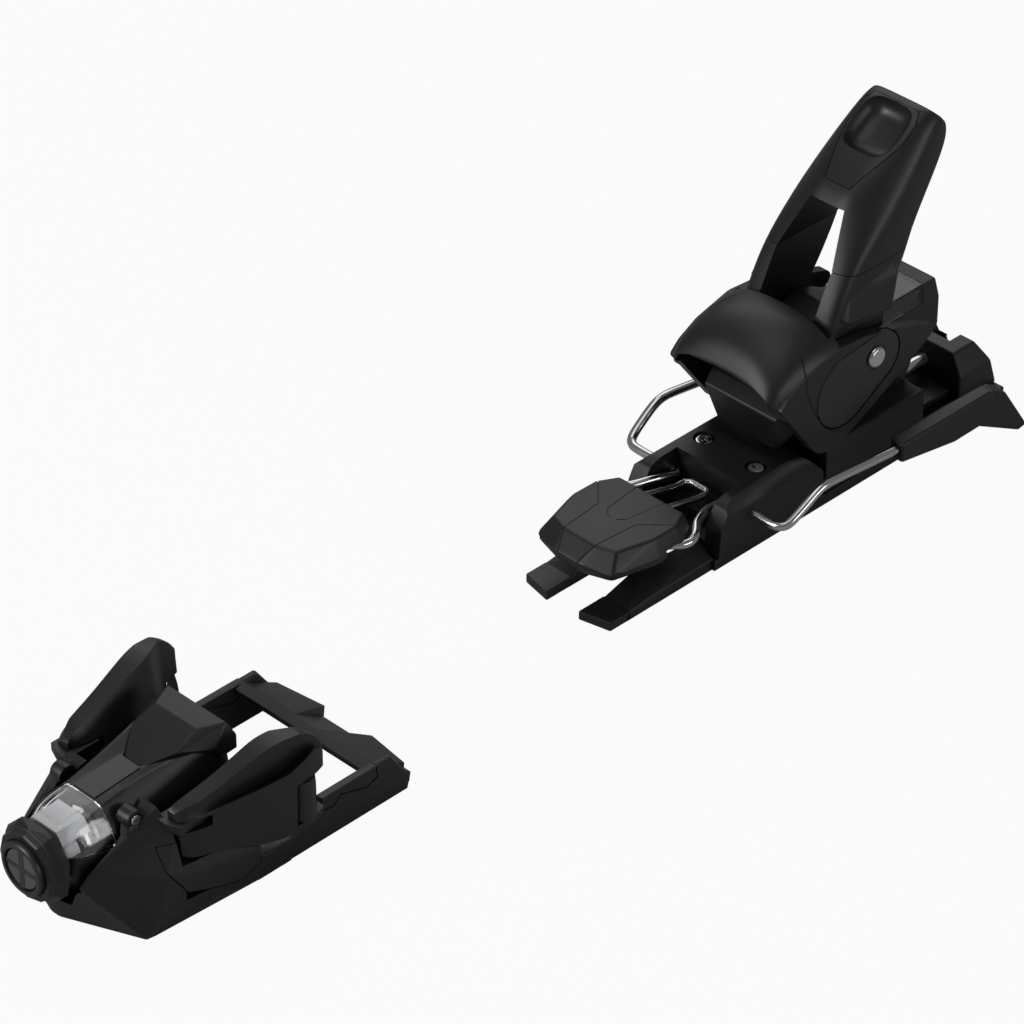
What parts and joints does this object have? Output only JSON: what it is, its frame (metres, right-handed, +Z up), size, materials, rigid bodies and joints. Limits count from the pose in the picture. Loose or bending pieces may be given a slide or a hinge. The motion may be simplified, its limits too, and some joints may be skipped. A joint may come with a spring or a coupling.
{
  "type": "alpine ski binding",
  "caption": "Two-piece alpine ski binding: a toe piece with sprung wings, dial and lens, and a sliding heel piece with hooded cup, tall lever and a wire brake with a foot pad.",
  "frame": {"origin": "middle of the toe piece's mounting face, on the ski's top face", "axes": "+X from toe to heel along the ski, +Y to the left, +Z up from the ski"},
  "size_m": [0.4972, 0.098, 0.1485],
  "materials": {
    "black_plastic": "satin black",
    "grey_plastic": "satin dark grey",
    "polished_steel": "polished",
    "zinc_steel": "zinc plated",
    "pale_plastic": "satin pale grey",
    "clear_plastic": "clear, polished"
  },
  "bodies": {
    "binding_base": {"toe_base": "black_plastic", "toe_loop_frame": "black_plastic", "toe_housing": "black_plastic", "toe_lens": "clear_plastic", "toe_top_cover": "black_plastic", "toe_end_cap": "black_plastic", "left_lug_screw": "polished_steel", "right_lug_screw": "polished_steel", "left_side_cover": "black_plastic", "right_side_cover": "black_plastic", "left_wing_pin": "polished_steel", "right_wing_pin": "polished_steel", "toe_spring": "polished_steel", "heel_track": "black_plastic", "brake_bracket": "black_plastic", "left_bracket_screw": "polished_steel", "right_bracket_screw": "polished_steel", "rear_bracket": "black_plastic"},
    "left_wing_body": {"left_wing": "black_plastic", "left_roller_pin": "polished_steel"},
    "right_wing_body": {"right_wing": "black_plastic", "right_roller_pin": "polished_steel"},
    "left_roller_body": {"left_wing_roller": "grey_plastic"},
    "right_roller_body": {"right_wing_roller": "grey_plastic"},
    "toe_dial_body": {"toe_dial": "grey_plastic", "toe_adjusting_screw": "zinc_steel"},
    "toe_nut_body": {"toe_spring_nut": "pale_plastic"},
    "toe_tie_rod_body": {"toe_tie_rod": "zinc_steel"},
    "carriage_body": {"heel_carriage": "black_plastic", "rear_window": "clear_plastic", "axle_pin": "polished_steel", "heel_spring": "polished_steel"},
    "cup_body": {"heel_cup": "black_plastic", "treadle": "black_plastic", "left_oval_cover": "grey_plastic", "right_oval_cover": "grey_plastic"},
    "lever_body": {"heel_lever": "black_plastic", "lever_insert": "grey_plastic", "left_lever_arm": "black_plastic", "right_lever_arm": "black_plastic"},
    "plunger_body": {"heel_plunger": "zinc_steel"},
    "heel_nut_body": {"heel_spring_nut": "pale_plastic"},
    "heel_screw_body": {"heel_release_screw": "zinc_steel"},
    "track_screw_body": {"track_screw": "polished_steel"},
    "brake_body": {"brake_pad": "black_plastic", "brake_spring_wire": "polished_steel", "left_brake_wire": "polished_steel", "right_brake_wire": "polished_steel", "left_brake_foot": "black_plastic", "right_brake_foot": "black_plastic"}
  },
  "joints": [
    {"name": "left_wing_open", "type": "hinge", "parent": "binding_base", "child": "left_wing_body", "pos_m": [-0.019, 0.029, 0.03], "axis": [0, 0, 1], "range_deg": [0, 25], "stiffness_Nm_per_rad": 4, "springref_deg": -2.86},
    {"name": "right_wing_open", "type": "hinge", "parent": "binding_base", "child": "right_wing_body", "pos_m": [-0.019, -0.029, 0.03], "axis": [0, 0, -1], "range_deg": [0, 25], "stiffness_Nm_per_rad": 4, "springref_deg": -2.86},
    {"name": "left_roller_spin", "type": "hinge", "parent": "left_wing_body", "child": "left_roller_body", "pos_m": [0.0262, 0.0393, 0.028], "axis": [0, 0, 1], "continuous": true},
    {"name": "right_roller_spin", "type": "hinge", "parent": "right_wing_body", "child": "right_roller_body", "pos_m": [0.0262, -0.0393, 0.028], "axis": [0, 0, 1], "continuous": true},
    {"name": "toe_dial_turn", "type": "hinge", "parent": "binding_base", "child": "toe_dial_body", "pos_m": [-0.069, 0, 0.0283], "axis": [1, 0, 0], "range_deg": [-360, 900]},
    {"name": "toe_nut_slide", "type": "slide", "parent": "binding_base", "child": "toe_nut_body", "axis": [1, 0, 0], "range_m": [-0.0021, 0.0052], "deforming": ["toe_spring"]},
    {"name": "tie_rod_slide", "type": "slide", "parent": "binding_base", "child": "toe_tie_rod_body", "axis": [1, 0, 0], "range_m": [0, 0.0085]},
    {"name": "heel_carriage_slide", "type": "slide", "parent": "binding_base", "child": "carriage_body", "axis": [1, 0, 0], "range_m": [0, 0.02]},
    {"name": "track_screw_turn", "type": "hinge", "parent": "binding_base", "child": "track_screw_body", "pos_m": [0.411, 0, 0.0175], "axis": [1, 0, 0], "range_deg": [0, 3602]},
    {"name": "heel_cup_open", "type": "hinge", "parent": "carriage_body", "child": "cup_body", "pos_m": [0.339, 0, 0.0628], "axis": [0, 1, 0], "range_deg": [0, 40]},
    {"name": "lever_release", "type": "hinge", "parent": "cup_body", "child": "lever_body", "pos_m": [0.339, 0, 0.0628], "axis": [0, 1, 0], "range_deg": [0, 6], "stiffness_Nm_per_rad": 3, "springref_deg": -2.86},
    {"name": "heel_plunger_slide", "type": "slide", "parent": "carriage_body", "child": "plunger_body", "axis": [1, 0, 0], "range_m": [-0.0029, 0], "deforming": ["heel_spring"]},
    {"name": "heel_screw_turn", "type": "hinge", "parent": "carriage_body", "child": "heel_screw_body", "pos_m": [0.395, 0, 0.0515], "axis": [1, 0, 0], "range_deg": [-722, 361]},
    {"name": "heel_nut_slide", "type": "slide", "parent": "carriage_body", "child": "heel_nut_body", "axis": [1, 0, 0], "range_m": [-0.003, 0.0015], "deforming": ["heel_spring"]},
    {"name": "brake_deploy", "type": "hinge", "parent": "binding_base", "child": "brake_body", "pos_m": [0.275, 0, 0.019], "axis": [0, 1, 0], "range_deg": [0, 60]}
  ],
  "couplings": [
    {"joint": "toe_nut_slide", "follows": "toe_dial_turn", "m_per_rad": 0.000318},
    {"joint": "tie_rod_slide", "follows": "left_wing_open", "m_per_rad": 0.019},
    {"joint": "track_screw_turn", "follows": "heel_carriage_slide", "rad_per_m": 3141.6},
    {"joint": "heel_plunger_slide", "follows": "heel_cup_open", "m_per_rad": -0.004},
    {"joint": "heel_screw_turn", "follows": "heel_nut_slide", "rad_per_m": 4188.8}
  ]
}
